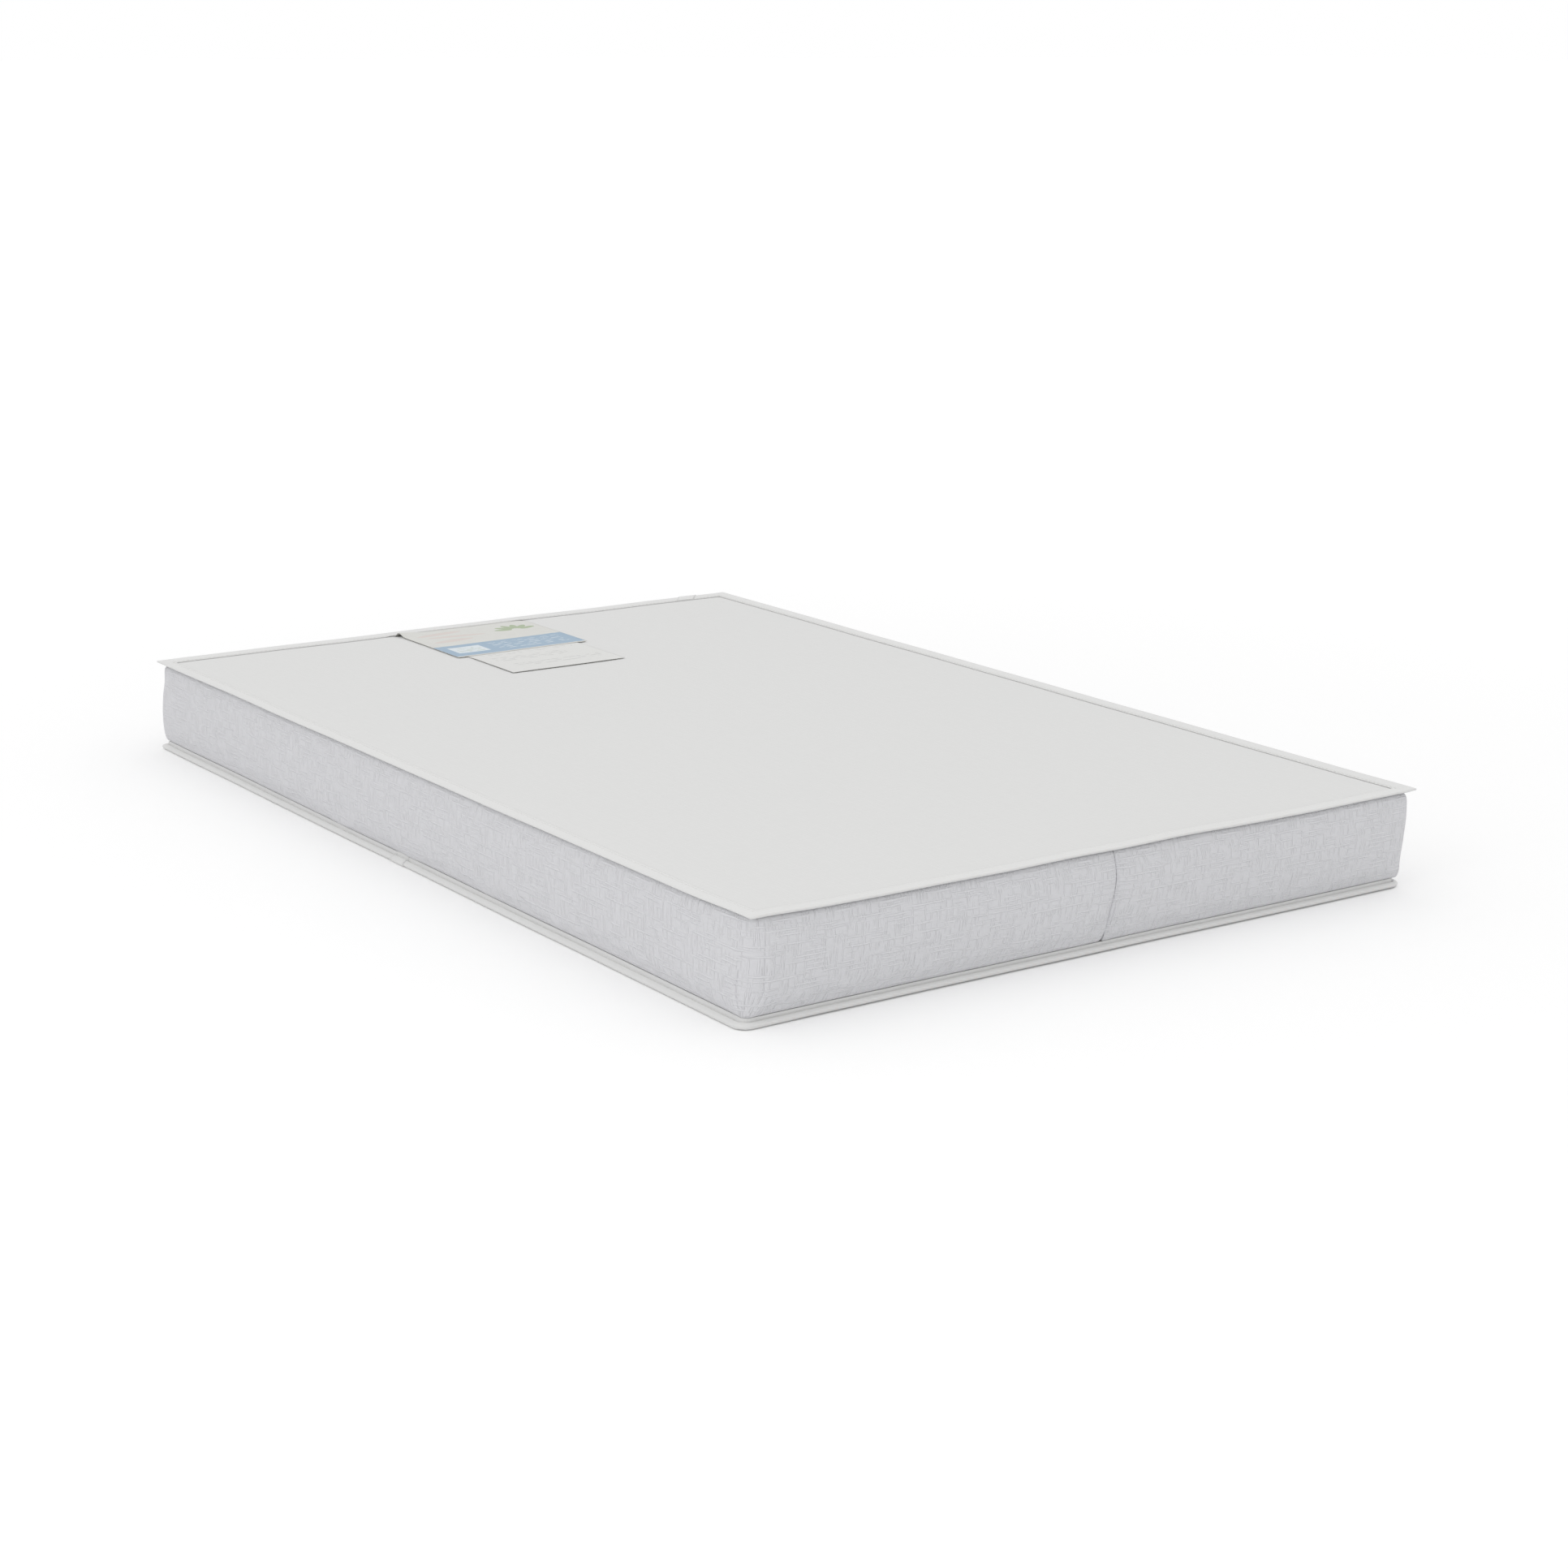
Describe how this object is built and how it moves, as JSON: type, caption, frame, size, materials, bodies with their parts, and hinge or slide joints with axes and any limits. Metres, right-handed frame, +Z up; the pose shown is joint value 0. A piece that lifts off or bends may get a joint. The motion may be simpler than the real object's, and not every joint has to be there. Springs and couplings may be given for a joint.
{
  "type": "foam mattress",
  "caption": "Rectangular two-layer foam mattress in a padded white cover with a folded binding round its top and bottom edges and two flat labels sewn into one end.",
  "frame": {"origin": "centre of the footprint, on the surface that the mattress lies on", "axes": "+X along the length, with the labels at the -X end; +Y across the width; +Z up, out of the sleeping side"},
  "size_m": [0.9936, 0.638, 0.0851],
  "materials": {
    "panel_fabric": "white vinyl-faced fabric with an embossed linen weave",
    "border_fabric": "white vinyl-faced fabric with an embossed linen weave",
    "binding_tape": "finely woven white tape",
    "support_foam": "open-cell polyurethane foam",
    "memory_foam": "fine-celled viscoelastic foam",
    "fibre": "white bonded polyester fibre",
    "tag_paper": "smooth white spunbonded sheet",
    "label_paper": "smooth printed spunbonded sheet"
  },
  "bodies": {
    "mattress": {"support_foam": "support_foam", "memory_foam": "memory_foam", "top_fibre_pad": "fibre", "bottom_fibre_pad": "fibre", "border_wadding_front": "fibre", "border_wadding_back": "fibre", "top_panel": "panel_fabric", "bottom_panel": "panel_fabric", "border_strip_front": "border_fabric", "border_strip_back": "border_fabric", "top_binding": "binding_tape", "bottom_binding": "binding_tape", "law_tag_margin": "tag_paper", "product_label_margin": "label_paper"},
    "law_tag": {"law_tag_flap": "tag_paper"},
    "product_label": {"product_label_flap": "label_paper"}
  },
  "joints": [
    {"name": "law_tag_fold", "type": "hinge", "parent": "mattress", "child": "law_tag", "pos_m": [-0.4785, -0.007, 0.08325], "axis": [0, -1, 0], "range_deg": [0, 75]},
    {"name": "product_label_fold", "type": "hinge", "parent": "law_tag", "child": "product_label", "pos_m": [-0.4775, -0.007, 0.08401], "axis": [0, -1, 0], "range_deg": [0, 60]}
  ]
}
